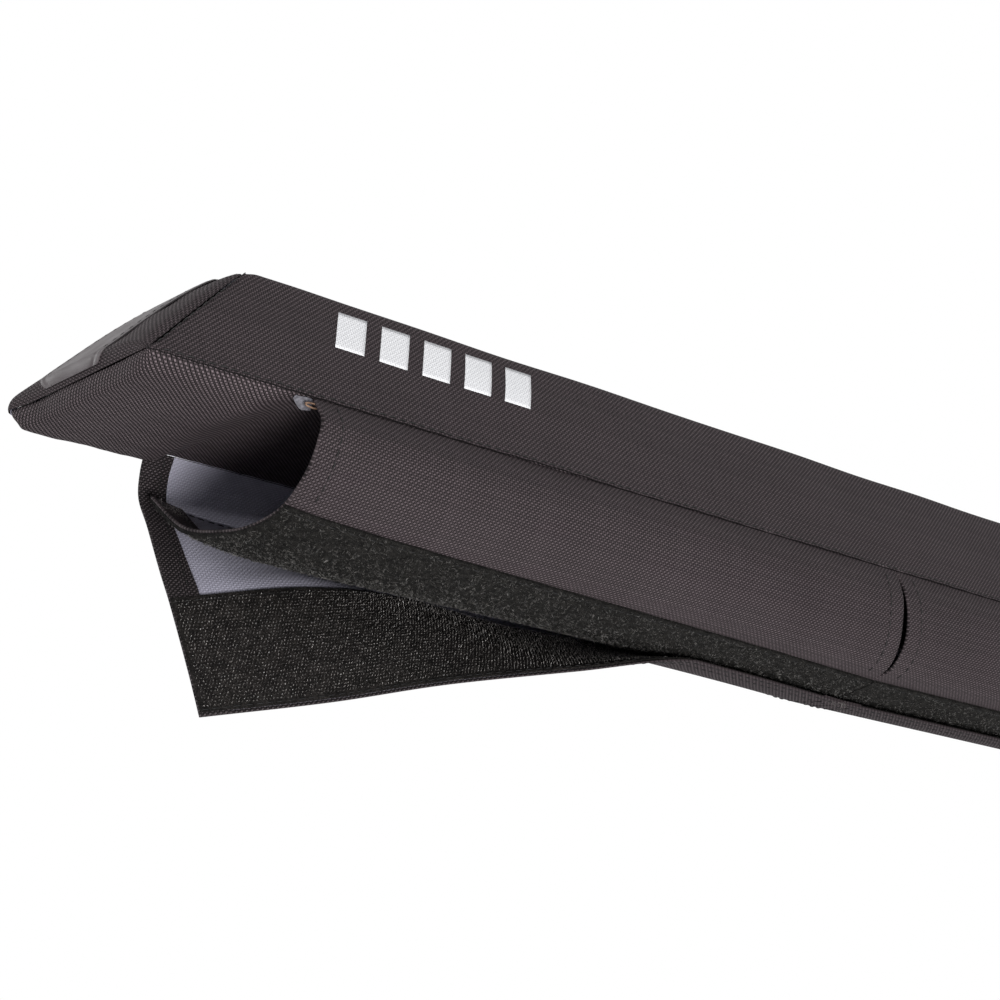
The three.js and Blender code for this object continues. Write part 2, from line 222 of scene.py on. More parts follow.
def runs(start, *stops):
    """Even steps from stop to stop: a start, then a count of points and a stop for each run."""
    steps = []
    for count, stop in zip(stops[::2], stops[1::2]):
        steps.append(np.linspace(start, stop, count)[:-1])
        start = stop
    return np.append(np.concatenate(steps), start)


def hermite(start, leave, end, arrive, t):
    """A cubic from start to end, with its tangents there."""
    return (start * (2 * t**3 - 3 * t**2 + 1) + leave * (t**3 - 2 * t**2 + t)
            + end * (3 * t**2 - 2 * t**3) + arrive * (t**3 - t**2))


def waves(x, y, seed):
    """A smooth random height over the plane, about -1 to 1, from a sum of plane waves."""
    local = np.random.default_rng(seed)
    total = np.zeros(np.broadcast(x, y).shape)
    for _ in range(WAVE_COUNT):
        angle = local.uniform(0, pi)
        pitch = local.uniform(0.6, 1.6)
        phase = local.uniform(0, 2 * pi)
        total += np.sin(2 * pi * (x * cos(angle) + y * sin(angle)) / pitch + phase)
    return total / sqrt(WAVE_COUNT) / 1.4


# Shares of the way from a half's outer end to the slit, closer together at both hems
SHARES = runs(0, 7, HEM_SHARE, STATIONS, 1 - HEM_SHARE, 7, 1)


# Curves

class Curve:
    """A centripetal Catmull-Rom curve through points, read by the distance along it."""

    SAMPLES = 16

    def __init__(self, points):
        p = np.array(points, float)
        p = np.vstack([2 * p[0] - p[1], p, 2 * p[-1] - p[-2]])
        t = np.linspace(0, 1, self.SAMPLES, endpoint=False)[:, None]
        pieces = []
        for a, b, c, d in zip(p, p[1:], p[2:], p[3:]):
            before, here, after = (sqrt(max(np.linalg.norm(v), 1e-9))
                                   for v in (b - a, c - b, d - c))
            start = ((b - a) / before - (c - a) / (before + here) + (c - b) / here) * here
            end = ((c - b) / here - (d - b) / (here + after) + (d - c) / after) * here
            pieces.append(hermite(b, start, c, end, t))
        self.points = np.vstack([*pieces, p[-2]])
        self.reach = lengths(self.points)

    def at(self, distance):
        distance = np.atleast_1d(distance)
        return pack(*(np.interp(distance, self.reach, part) for part in self.points.T))


def front_section(share):
    """The front panel's section at a share of the way from the open end to the slit: its bare
    width, and a function from distances along it to points."""
    closing = sin(pi / 2 * share)
    depth = (mix(MIDDLE_DEPTH, OPEN_END_DEPTH, exp(-share * SLEEVE_END / DEPTH_RUN))
             + (CLOSED_DEPTH - MIDDLE_DEPTH) * share**3)
    opened, closed = (
        Curve([(-HALF_BASE + across * BASE_WIDTH, -SEWN_GAP - down * depth)
               for across, down in outline])
        for outline in (OPEN_END_OUTLINE, CLOSED_OUTLINE))
    width = mix(FRONT_WIDTH_OPEN, FRONT_WIDTH, share)
    return width, lambda distance: mix(opened.at(distance), closed.at(distance), closing)


def closed_flap_section(share):
    """The closed flap's section: bowed out from its seam, then over the tapes."""
    width, section = front_section(share)
    stand_off = SEWN_GAP + LOOP_THICK + SEWN_GAP + HOOK_THICK + SEWN_GAP
    path = [(HALF_BASE, -SEWN_GAP), (HALF_BASE + FLAP_SWELL, -SEWN_GAP - FLAP_BOW / 2)]
    for distance in np.linspace(width + LOOP_WIDTH, width - HEM_WIDTH, 21):
        here, = section(distance)
        if here[1] < -FLAP_BOW:
            ahead = unit(section(distance + FABRIC)[0] - section(distance - FABRIC)[0])
            path.append((here[0] + ahead[1] * stand_off, here[1] - ahead[0] * stand_off))
    return Curve(path)


PEELED = [Curve([(HALF_BASE + out * FLAP_WIDTH, -SEWN_GAP - down * FLAP_WIDTH)
                 for out, down in outline]) for outline in PEELED_OUTLINES]


def flap_section_points(distances, from_end, closed):
    """The flap's points at distances from its seam, lofted through the peeled sections."""
    shut = closed.at(distances)
    if from_end >= PEEL_LENGTH:
        return shut
    peeled = [section.at(distances) for section in PEELED]
    keys = [2 * peeled[0] - peeled[1], *peeled, shut, shut]
    place = from_end / PEEL_LENGTH * len(peeled)
    first = int(place)
    before, start, end, after = keys[first:first + 4]
    t = place - first
    return hermite(start, (end - before) / 2, end, (after - start) / 2, t)


# Surfaces and meshes

class Surface:
    """A grid of points with its normals, its tangents from row to row, and flat places."""

    def __init__(self, points, flat, turn=1):
        self.points = points
        self.flat = flat
        self.along = unit(np.gradient(points, axis=0))
        self.normals = turn * unit(np.cross(self.along, np.gradient(points, axis=1)))

    def offset(self, amount):
        amount = np.broadcast_to(amount, self.points.shape[:2])
        return self.points + self.normals * amount[..., None]

    def columns(self, start, stop=None):
        part = object.__new__(Surface)
        for name in ("points", "flat", "along", "normals"):
            setattr(part, name, getattr(self, name)[:, start:stop])
        return part


def placed(name, data):
    """A new object in the scene."""
    thing = bpy.data.objects.new(name, data)
    bpy.context.scene.collection.objects.link(thing)
    return thing


def mesh_object(name, points, faces, materials, face_material=None, flat=None, crease=50):
    """A mesh piece that rides on the pad, with its flat places in metres as UVs."""
    mesh = bpy.data.meshes.new(name)
    mesh.from_pydata(points.reshape(-1, 3).tolist(), [],
                     faces if isinstance(faces, list) else faces.tolist())
    if flat is not None:
        layer = mesh.uv_layers.new(name="flat")
        corner = np.empty(len(mesh.loops), np.int32)
        mesh.loops.foreach_get("vertex_index", corner)
        layer.data.foreach_set("uv", flat.reshape(-1, 2)[corner].astype(np.float32).ravel())
    for material in materials:
        mesh.materials.append(material)
    if face_material is not None:
        mesh.polygons.foreach_set("material_index", face_material.astype(np.int32))
    mesh.validate()
    mesh.shade_smooth()
    mesh.set_sharp_from_angle(angle=radians(crease))
    piece = placed(name, mesh)
    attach(piece, "root")
    return piece


def solid_sheet(name, outer, inner, flat, materials):
    """A closed sheet between two grids; its materials are outer, inner and rim."""
    rows, columns = outer.shape[:2]
    index = np.arange(rows * columns).reshape(rows, columns)
    shift = rows * columns
    top = quads(index)
    bottom = quads(index + shift)[:, ::-1]
    border = np.concatenate([index[0, :-1], index[:-1, -1], index[-1, :0:-1], index[:0:-1, 0]])
    after = np.roll(border, -1)
    rim = np.stack([after, border, border + shift, after + shift], -1)
    faces = np.vstack([top, bottom, rim])
    kinds = np.repeat([0, 1, 2], [len(top), len(bottom), len(rim)])
    points = np.vstack([outer.reshape(-1, 3), inner.reshape(-1, 3)])
    if signed_volume(points, faces) < 0:
        faces = faces[:, ::-1]
    return mesh_object(name, points, faces, materials, kinds, np.vstack([flat, flat]))


def cloth_sheet(name, grid, lift, materials):
    """Fabric whose outer face stands lift above a surface."""
    return solid_sheet(name, grid.offset(lift), grid.offset(lift - FABRIC), grid.flat, materials)


def quads(index):
    return np.stack([index[:-1, :-1], index[:-1, 1:], index[1:, 1:], index[1:, :-1]],
                    -1).reshape(-1, 4)


def signed_volume(points, faces):
    a, b, c, d = (points[faces[:, k]] for k in range(4))
    return float((np.einsum("ij,ij->i", a, np.cross(b, c))
                  + np.einsum("ij,ij->i", a, np.cross(c, d))).sum())


# Materials

class Nodes:
    """Builds the nodes of a material, or of the world, with short calls."""

    def __init__(self, name, owner=None):
        self.owner = owner or bpy.data.materials.new(name)
        self.owner.use_nodes = True
        self.tree = self.owner.node_tree
        self.shader = self.tree.nodes.get("Principled BSDF")

    def new(self, kind, **values):
        node = self.tree.nodes.new(kind)
        for key, value in values.items():
            if hasattr(node, key):
                setattr(node, key, value)
            else:
                self.put(node.inputs[key], value)
        return node

    def put(self, socket, value):
        if isinstance(value, bpy.types.NodeSocket):
            self.tree.links.new(value, socket)
        else:
            socket.default_value = (*value, 1) if socket.type == "RGBA" else value

    def feed(self, node, *values):
        """Sets or links a node's first inputs, and gives its first output."""
        for socket, value in zip(node.inputs, values):
            self.put(socket, value)
        return node.outputs[0]

    def math(self, operation, *values):
        return self.feed(self.new("ShaderNodeMath", operation=operation), *values)

    def times(self, a, b):
        return self.math("MULTIPLY", a, b)

    def linear(self, value, slope, start):
        return self.math("MULTIPLY_ADD", value, slope, start)

    def blend(self, share, a, b):
        """From a to b by a share: numbers, or colours where b is one."""
        kind, first, out = ("RGBA", 6, 2) if isinstance(b, tuple) else ("FLOAT", 2, 0)
        node = self.new("ShaderNodeMix", data_type=kind)
        for place, value in ((0, share), (first, a), (first + 1, b)):
            self.put(node.inputs[place], value)
        return node.outputs[out]

    def remap(self, value, low, high, to_low=0.0, to_high=1.0):
        node = self.new("ShaderNodeMapRange", interpolation_type="SMOOTHSTEP")
        return self.feed(node, value, low, high, to_low, to_high)

    def flat_place(self):
        """The sheet's flat place, counted in yarns."""
        uv = self.new("ShaderNodeUVMap", uv_map="flat")
        yarns = self.new("ShaderNodeVectorMath", operation="DIVIDE")
        apart = self.new("ShaderNodeSeparateXYZ")
        self.feed(apart, self.feed(yarns, uv.outputs[0], (WARP_PITCH, WEFT_PITCH, 1)))
        return apart.outputs[0], apart.outputs[1]

    def shade(self, colour, share):
        node = self.new("ShaderNodeVectorMath", operation="SCALE", Scale=share)
        return self.feed(node, colour)

    def noise(self, scale, detail, roughness=0.5):
        place = self.new("ShaderNodeTexCoord").outputs["Object"]
        node = self.new("ShaderNodeTexNoise", Vector=place, Scale=scale, Detail=detail,
                        Roughness=roughness)
        return node.outputs["Fac"]

    def bump(self, height, distance):
        node = self.new("ShaderNodeBump", Strength=1.0, Distance=distance, Height=height)
        self.put(self.shader.inputs["Normal"], node.outputs[0])

    def finish(self, colour, roughness, specular=0.5):
        for name, value in (("Base Color", colour), ("Roughness", roughness),
                            ("Specular IOR Level", specular)):
            self.put(self.shader.inputs[name], value)
        return self.owner


def yarn_relief(n):
    """A weave with diagonal ribs: its height, where the yarns along the sheet lie on top, and a
    number for each yarn."""
    u, v = n.flat_place()
    sin_u = n.math("SINE", n.times(u, pi))
    sin_v = n.math("SINE", n.times(v, pi))
    rib = n.math("COSINE", n.times(n.math("SUBTRACT", u, v), pi))
    cross = n.math("COSINE", n.times(n.math("ADD", u, v), pi))
    over = n.remap(n.math("SUBTRACT", n.times(rib, 0.7), n.times(cross, 0.3)), -0.5, 0.5)

    def number(place):
        return n.new("ShaderNodeTexWhiteNoise", noise_dimensions="1D", W=place).outputs[0]

    yarn = n.blend(over, number(n.math("FLOOR", u)),
                   number(n.math("ADD", n.math("FLOOR", v), 77.3)))
    round_yarn = n.blend(over, n.math("ABSOLUTE", sin_u), n.math("ABSOLUTE", sin_v))
    height = n.math("ADD", n.times(round_yarn, 0.7), n.times(over, 0.3))
    return height, over, yarn


def woven(name, low, high, glint, rib=0.12):
    """Oxford cloth: thick yarns, with painted shade between them and painted light on their tops.
    rib is how much lighter the ribs of the upper yarns are painted, as painted light; glint is
    the colour of a painted highlight on the yarn tops.
    """
    n = Nodes(name)
    height, over, yarn = yarn_relief(n)
    # body is painted shade: dark in the gaps between yarns, light on their raised tops
    body = n.blend(n.remap(height, 0.2, 0.95), low, high)
    # shine is where the painted highlight, glint, lies on the tops of the upper yarns
    shine = n.times(n.linear(over, 0.5, 0.5), n.remap(height, 0.6, 1.0))
    lit = n.blend(shine, body, glint)
    # tone is a random tone per yarn, times painted light that makes the yarns on top lighter by
    # rib
    tone = n.times(n.linear(yarn, 0.3, 0.87), n.linear(over, rib, 1.02 - rib / 2))
    cloudy = n.linear(n.noise(26, 3), 0.3, 0.85)
    n.bump(height, 0.0003)
    roughness = n.linear(n.math("SUBTRACT", 1.0, height), 0.25, 0.62)
    return n.finish(n.shade(lit, n.times(tone, cloudy)), roughness, 0.12)


def coated_lining():
    """The fabric's coated back: a thin blue-grey film that still shows the yarns under it, with
    painted shade between them and painted light on the yarns that lie on top.
    """
    n = Nodes("coated_lining")
    height, over, _ = yarn_relief(n)
    # tone is painted shade from the yarns' height, and painted light on the yarns on top
    tone = n.times(n.linear(height, 0.3, 0.75), n.linear(over, 0.16, 0.88))
    n.bump(height, 0.0002)
    colour = n.blend(n.noise(40, 2), (0.31, 0.3, 0.365), (0.43, 0.418, 0.5))
    return n.finish(n.shade(colour, tone), 0.5, 0.45)


def patch_film():
    """The end patch: a smooth satin film with a fine pressed grain."""
    n = Nodes("patch_film")
    colour = n.blend(n.noise(60, 3), (0.06, 0.0505, 0.053), (0.08, 0.0675, 0.071))
    n.bump(n.noise(2600, 2), 0.00006)
    roughness = n.remap(n.noise(90, 3), 0.3, 0.7, 0.5, 0.62)
    return n.finish(colour, roughness, 0.4)


def pile(name, low, high, rough, scale):
    """Tape yarn and its fibres, uneven from spot to spot."""
    n = Nodes(name)
    spots = n.remap(n.noise(scale, 4, roughness=0.75), 0.36, 0.7)
    n.bump(spots, 0.0003)
    colour = n.shade(n.blend(spots, low, high),
                     n.remap(n.noise(scale / 6, 2), 0.3, 0.7, 0.6, 1.4))
    return n.finish(colour, rough, 0.12)


def filament(name, low, high, rough, specular):
    """Smooth single threads, each a little lighter or darker than the next."""
    n = Nodes(name)
    colour = n.blend(n.remap(n.noise(900, 1), 0.35, 0.75), low, high)
    return n.finish(colour, rough, specular)


def foam_skin():
    n = Nodes("foam_skin")
    place = n.new("ShaderNodeTexCoord").outputs["Object"]
    cells = n.new("ShaderNodeTexVoronoi", Scale=900.0, Vector=place).outputs["Distance"]
    n.bump(cells, 0.0004)
    return n.finish(n.blend(cells, (0.03, 0.03, 0.032), (0.06, 0.06, 0.063)), 0.9)


def print_film():
    """White print on the weave, which shows through it."""
    n = Nodes("print_film")
    height, _, _ = yarn_relief(n)
    n.bump(height, 0.0002)
    colour = n.blend(n.remap(height, 0.0, 0.55), (0.42, 0.42, 0.43), (0.78, 0.78, 0.79))
    return n.finish(colour, 0.6, 0.3)


# The last colour of each woven material is its painted highlight on the yarn tops.
WOVEN = woven("woven_cover", (0.008, 0.0064, 0.0069), (0.047, 0.0365, 0.0392),
              (0.079, 0.063, 0.067))
BASE_WOVEN = woven("woven_underside", (0.007, 0.0056, 0.006), (0.056, 0.0437, 0.0468),
                   (0.1, 0.0797, 0.085), rib=0.6)
HEM_WOVEN = woven("woven_hem", (0.003, 0.0026, 0.0027), (0.026, 0.0212, 0.0224),
                  (0.075, 0.063, 0.066))
LINING = coated_lining()
PATCH = patch_film()
LOOP_TAPE = pile("loop_ground", (0.0012, 0.0011, 0.001), (0.036, 0.0336, 0.0306), 0.95, 2300)
LOOP_FIBRE = filament("loop_fibre", (0.006, 0.0055, 0.005), (0.15, 0.141, 0.131), 0.5, 0.5)
HOOK_TAPE = pile("hook_ground", (0.003, 0.0026, 0.0023), (0.036, 0.0318, 0.0295), 0.8, 1300)
# The hook stalks' light colour is partly their own and partly painted highlight, for the glints
# on their glossy nylon.
HOOK_STALK_GLINT = filament("hook_stalk", (0.014, 0.0123, 0.0113), (0.36, 0.333, 0.318), 0.33, 0.6)
THREAD = filament("thread", (0.004, 0.0037, 0.0037), (0.012, 0.0112, 0.0112), 0.6, 0.3)
FRAY = filament("fray", (0.08, 0.07, 0.068), (0.22, 0.2, 0.19), 0.6, 0.5)
# The scrap's colour is the lining's, darkened by painted shade.
SHADED_SCRAP = filament("lining_scrap_painted_shade", (0.07, 0.067, 0.078), (0.15, 0.145, 0.165), 0.6, 0.3)
TAN_TAPE = filament("tan_tape", (0.12, 0.07, 0.045), (0.24, 0.15, 0.1), 0.7, 0.3)
FOAM = foam_skin()
PRINT = print_film()


# Pad

def end_reach(z, inset=0.0):
    return HALF_LENGTH - END_SLANT * z / PAD_HEIGHT - inset * END_STRETCH


def half_width(z, inset=0.0):
    return HALF_BASE - SIDE_TAPER * z / PAD_HEIGHT - inset * SIDE_SLANT / PAD_HEIGHT


def wrap_path():
    """The cover's section, from the front seam over the top to the rear seam."""
    lean = atan2(SIDE_TAPER, PAD_HEIGHT)
    trim = TOP_EDGE_RADIUS * tan((pi / 2 - lean) / 2)
    centre = (half_width(PAD_HEIGHT) - trim, PAD_HEIGHT - TOP_EDGE_RADIUS)
    angles = np.linspace(lean, pi / 2, 8)
    arc = centre + TOP_EDGE_RADIUS * pack(np.cos(angles), np.sin(angles))
    rise = runs(0, 14, FOOT_RUN, 18, arc[0, 1])[:-1]
    half = np.vstack([pack(half_width(rise), rise), arc])
    top = pack(np.linspace(arc[-1, 0], -arc[-1, 0], 26)[1:-1], PAD_HEIGHT)
    return np.vstack([half * (-1, 1), top[::-1], half[::-1]])


def seam_inset(z):
    """How far the end seams' edges lie inside the pad's corner lines: nothing at the foot."""
    return SEAM_INSET * smoothstep(0, FOOT_RUN, z)


def soften(points):
    """Rounds the pad's lower corners in plan, and swells the two at the rear."""
    x, y, z = (points[..., k] for k in range(3))
    height = np.clip(z, 0, PAD_HEIGHT)
    from_end = end_reach(height) - np.abs(x)
    from_side = half_width(height) - np.abs(y)
    depth = np.minimum(from_end, from_side)
    further = np.maximum(from_end, from_side) - depth
    radius = mix(np.where(y > 0, REAR_CORNER, FRONT_CORNER), UPPER_CORNER,
                 smoothstep(0, CORNER_TALL, height)) - depth
    radius = np.maximum(radius, 1e-6)
    turn = pi / 4 * (1 - np.clip(further / radius, 0, 1))
    far = np.where(further < radius, radius * (1 - np.sin(turn)), further)
    near = radius * (1 - np.cos(turn))
    by_end = from_end < from_side
    away = (from_end**2 + from_side**2 + z**2) / CORNER_REACH**2
    swell = CORNER_SWELL * np.exp(-away) * (y > 0)
    new_end = depth + np.where(by_end, near, far) - swell
    new_side = depth + np.where(by_end, far, near) - swell
    return pack((end_reach(height) - new_end) * np.where(x < 0, -1, 1),
                (half_width(height) - new_side) * np.where(y < 0, -1, 1), z)


def seam_sink(distance):
    return -SEAM_SINK * np.exp(-(distance / SEAM_SPREAD) ** 2)


def pucker(distance, along):
    """The small dips that each stitch pulls into the cloth beside a seam."""
    near = np.exp(-(distance / PUCKER_REACH) ** 2)
    return PUCKER_DEPTH * near * np.sin(2 * pi * along / STITCH_PITCH)


def wrap_surface():
    path = wrap_path()
    y, z = path.T
    share = runs(0, 14, 0.02, 14, 0.06, 110, 1) / 2
    share = np.concatenate([share, 1 - share[-2::-1]])
    reach = end_reach(z, seam_inset(z))
    x = mix(-reach, reach, share[:, None])
    return Surface(soften(pack(x, y, z)), pack(x, lengths(path)))


def wrap_lift(grid):
    """How far the cover stands out from the flat faces: its crown, seams and slight waves."""
    x, s = grid.flat[..., 0], grid.flat[..., 1]
    y, z = grid.points[..., 1], grid.points[..., 2]
    on_top = smoothstep(PAD_HEIGHT - 0.006, PAD_HEIGHT, z)
    side = SIDE_CROWN * np.sin(pi * np.clip(z / PAD_HEIGHT, 0, 1))
    top = TOP_CROWN * np.cos(pi / 2 * np.clip(y / (TOP_WIDTH / 2), -1, 1))
    from_end = np.abs(end_reach(z, seam_inset(z)) - np.abs(x)) / END_STRETCH
    up = smoothstep(0, FOOT_RUN, z)
    ends = smoothstep(0, 0.02, from_end)
    band = SEAM_BAND_RISE * (1 - smoothstep(SEAM_BAND - 0.0008, SEAM_BAND + 0.0008, z))
    wave = 0.00035 * waves(x / 0.09, s / 0.05, 3)
    return (mix(side, top, on_top) * mix(0.4, 1, ends) + band + wave * ends
            + up * (seam_sink(from_end) + pucker(from_end, s)) + pucker(z, x))


def cover_wrap():
    grid = wrap_surface()
    lift = wrap_lift(grid)
    piece = cloth_sheet("cover_wrap_cloth", grid, lift, [WOVEN, LINING, HEM_WOVEN])
    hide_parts("cover_wrap")
    return grid, grid.offset(lift)


def base_surface():
    """The underside: flat over the bar, and hanging in a rounded cushion past the sleeve."""
    reach = HALF_LENGTH - SEAM_SINK * 0.3
    turn = quarter(12)
    x = np.concatenate([runs(0, 40, SLEEVE_END, 22, reach - OVERHANG_ROUND)[:-1],
                        reach - OVERHANG_ROUND * turn[::-1]])
    x = np.concatenate([-x[:0:-1], x])
    half = HALF_BASE - SEAM_SINK * 0.3
    y = np.concatenate([-half + OVERHANG_FRONT * turn,
                        np.linspace(OVERHANG_FRONT - half, half - OVERHANG_ROUND, 20)[1:-1],
                        half - OVERHANG_ROUND * turn[::-1]])
    x, y = np.meshgrid(x, y, indexing="ij")
    past = mix(smoothstep(SLEEVE_END - 0.003, SLEEVE_END + OVERHANG_START, np.abs(x)),
               smoothstep(SLEEVE_END, SLEEVE_END + OVERHANG_REAR, np.abs(x)),
               smoothstep(0, half, y))
    edge = (rounded(y + half, OVERHANG_FRONT) * rounded(half - y, OVERHANG_ROUND)
            * rounded(reach - np.abs(x), OVERHANG_ROUND))
    points = pack(x, y, -OVERHANG_SAG * past * edge)
    along = lengths(points[:, points.shape[1] // 2])
    across = lengths(points[4])
    flat = pack((along - along[-1] / 2)[:, None], across - across[-1] / 2)
    return Surface(soften(points), flat, turn=-1)


def cover_base():
    grid = base_surface()
    x, y = grid.points[..., 0], grid.points[..., 1]
    past = smoothstep(SLEEVE_END, SLEEVE_END + OVERHANG_START, np.abs(x))
    border = np.minimum(HALF_BASE - np.abs(y), HALF_LENGTH - np.abs(x))
    lift = past * (0.0005 * waves(x / 0.035, y / 0.03, 11) + pucker(border, x)
                   + 0.6 * seam_sink(border))
    piece = cloth_sheet("cover_base_cloth", grid, lift, [BASE_WOVEN, LINING, BASE_WOVEN])
    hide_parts("cover_base")


def end_surface(side, z, half_at):
    """A grid on the swelling end face: rows go up it, columns across it."""
    across = np.sin(pi / 2 * np.linspace(-1, 1, 51))
    z = z[:, None]
    y = across * half_at(z)
    swell = END_SWELL * (rounded(half_width(z, seam_inset(z)) - np.abs(y), END_SWELL_SIDE)
                         * rounded(z * END_STRETCH, END_SWELL_FOOT)
                         * rounded((PAD_HEIGHT - z) * END_STRETCH, END_SWELL_TOP))
    out = swell * sqrt(0.5)
    points = soften(pack(side * (end_reach(z) + out), y, z + out))
    rise = lengths(points[:, points.shape[1] // 2])
    return Surface(points, pack(y, rise[:, None]), turn=-side)


def rounded_half(z):
    """The end cap's half width, with the top corners rounded like the pad's."""
    radius = TOP_EDGE_RADIUS - SEAM_SINK
    over = np.clip(z - (CAP_TOP - radius), 0, radius)
    return half_width(z, seam_inset(z)) - (radius - np.sqrt(radius**2 - over**2)) * 0.9


def end_cap(name, side):
    foot = END_SWELL_FOOT / END_STRETCH
    z = np.concatenate([foot * quarter(10), runs(foot, 22, 0.04, 12, CAP_TOP)[1:]])
    grid = end_surface(side, z, rounded_half)
    from_side = (rounded_half(z)[:, None] - np.abs(grid.points[..., 1])) * 0.93
    from_top = (CAP_TOP - z)[:, None] * END_STRETCH
    across, up = grid.flat[..., 0], grid.flat[..., 1]
    lift = seam_sink(np.minimum(from_side, from_top)) + pucker(from_side, up)
    lift = lift * smoothstep(0, FOOT_RUN, z)[:, None]
    lift += 0.00025 * waves(across / 0.04, up / 0.03, 5)
    piece = cloth_sheet(f"end_cap_{name}_cloth", grid, lift, [WOVEN, LINING, WOVEN])
    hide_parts(f"end_cap_{name}")


def patch_half(z):
    below = np.clip(PATCH_FOOT + PATCH_CORNER - z, 0, PATCH_CORNER)
    rounding = PATCH_CORNER - np.sqrt(np.maximum(PATCH_CORNER**2 - below**2, 0))
    return half_width(z) - mix(PATCH_MARGIN_FOOT, PATCH_MARGIN_TOP, z / PAD_HEIGHT) - rounding


def end_patch(name, side):
    """The satin patch on an end cap. Returns the lines of its stitches."""
    straight = PATCH_FOOT + PATCH_CORNER
    z = np.concatenate([PATCH_FOOT + PATCH_CORNER * quarter(10)[:-1],
                        np.linspace(straight, CAP_TOP - 0.0006, 20)])
    grid = end_surface(side, z, patch_half)
    from_side = patch_half(z)[:, None] - np.abs(grid.points[..., 1])
    near = np.minimum(from_side, (z - PATCH_FOOT)[:, None] * END_STRETCH)
    from_top = (CAP_TOP - z)[:, None] * END_STRETCH
    lift = (SEWN_GAP + PATCH_THICK * mix(0.55, 1, smoothstep(0, 0.0015, near))
            - 0.0003 * np.exp(-((from_side - PATCH_STITCH) / 0.0009) ** 2)
            + seam_sink(from_top) - 0.5 * PATCH_THICK * np.exp(-(from_top / 0.004) ** 2))
    piece = solid_sheet(f"end_patch_{name}_film", grid.offset(lift),
                        grid.offset(seam_sink(from_top) + SEWN_GAP * 0.3),
                        grid.flat, [PATCH] * 3)
    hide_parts(f"end_patch_{name}")
    return patch_stitch_lines(grid, lift, from_side)


def patch_stitch_lines(grid, lift, from_side):
    """The two lines up a patch's sides that its stitches follow, as points with normals."""
    outer = grid.offset(lift)
    rows = np.nonzero(outer[:, 0, 2] < PAD_HEIGHT - 0.006)[0][PATCH_STITCH_FIRST:]
    lines = []
    for step in (1, -1):
        points = []
        for row in rows:
            inset = from_side[row, ::step]
            half = len(inset) // 2
            line = outer[row, ::step][:half]
            points.append([np.interp(PATCH_STITCH, inset[:half], part) for part in line.T])
        lines.append((np.array(points), grid.normals[rows, 2 * step]))
    return lines


def foam_block():
    """The block inside the cover."""
    inset = FABRIC + SEWN_GAP + SEAM_SINK
    heights = [inset, *np.linspace(inset + 0.002, PAD_HEIGHT - inset - 0.003, 8),
               PAD_HEIGHT - inset]
    rings = []
    for height in heights:
        shrink = FOAM_EDGE if height in (heights[0], heights[-1]) else 0
        reach = end_reach(height, inset) - shrink
        half = half_width(height, inset) - shrink
        front = pack(np.linspace(-1, 1, 40) * reach, -half, height)
        right = pack(reach, np.linspace(-half, half, 11)[1:-1], height)
        rings.append(np.vstack([front, right, front[::-1] * (1, -1, 1),
                                right[::-1] * (-1, 1, 1)]))
    rings = np.array(rings)
    index = np.arange(rings[..., 0].size).reshape(rings.shape[:2])
    sides = quads(np.hstack([index, index[:, :1]]))
    faces = [*sides.tolist(), index[0][::-1].tolist(), index[-1].tolist()]
    piece = mesh_object("foam_block", rings, faces, [FOAM], crease=40)
    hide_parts("foam_core")


# Sleeve

def slit_edge(share):
    return SLIT_GAP / 2 + SLIT_BOW / 2 * np.sin(pi * np.clip(share, 0, 1))


def station_at(distance):
    """The place in SHARES of a distance from a half's outer end."""
    return np.interp(distance / SLEEVE_END, SHARES, np.arange(len(SHARES)))


def front_surface(side, peeled):
    rows, flat = [], []
    for share in SHARES:
        width, section = front_section(share if peeled else 1)
        distances = runs(0, FRONT_COLUMNS + 1, width, LOOP_COLUMNS + 1, width + LOOP_WIDTH)
        lean = FRONT_EDGE_LEAN * distances / (width + LOOP_WIDTH) if peeled else 0
        x = mix(SLEEVE_END + lean, slit_edge(distances / width), share)
        yz = section(distances)
        tuck = 0.0003 * np.exp(-(distances / 0.0012) ** 2)
        rows.append(pack(side * x, yz[:, 0] + tuck, yz[:, 1]))
        flat.append(pack(side * x, -distances))
    return Surface(np.array(rows), np.array(flat), turn=side)


def flap_surface(side, peeled):
    distances = runs(0, FLAP_COLUMNS + 1, FLAP_WIDTH - HOOK_WIDTH,
                     HOOK_COLUMNS, FLAP_WIDTH - FLAP_LIP, 2, FLAP_WIDTH)
    rows, flat = [], []
    for share in SHARES:
        closed = closed_flap_section(share if peeled else 1)
        lead = mix(FLAP_START_LEAD, FLAP_TIP_LEAD, distances / FLAP_WIDTH) if peeled else 0
        x = mix(SLEEVE_END + lead, slit_edge(distances / FLAP_WIDTH), share)
        from_end = share * SLEEVE_END if peeled else PEEL_LENGTH
        yz = flap_section_points(distances, from_end, closed)
        rows.append(pack(side * x, *yz.T))
        flat.append(pack(side * x, -distances))
    return Surface(np.array(rows), np.array(flat), turn=-side)


